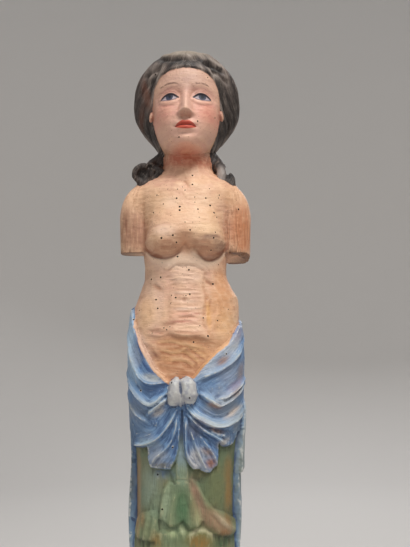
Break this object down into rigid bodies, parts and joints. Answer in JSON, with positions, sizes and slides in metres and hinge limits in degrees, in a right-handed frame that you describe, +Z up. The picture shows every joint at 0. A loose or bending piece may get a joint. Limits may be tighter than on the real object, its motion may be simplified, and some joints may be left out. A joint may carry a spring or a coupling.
{
  "type": "carved wooden mermaid",
  "caption": "Standing mermaid carved from one log, with a bare torso, sawn-off arms, a knotted hip cloth and a scaled tail that flares onto a low base.",
  "frame": {"origin": "middle of the base's underside, on the surface that the figure stands on", "axes": "+Z up along the figure, -Y the way the figure faces, +X to its left hand"},
  "size_m": [0.124, 0.112, 0.6207],
  "materials": {
    "painted_wood": "hand painted, matt to satin, worn"
  },
  "bodies": {
    "root": {"mermaid_figure": "painted_wood"}
  },
  "joints": []
}
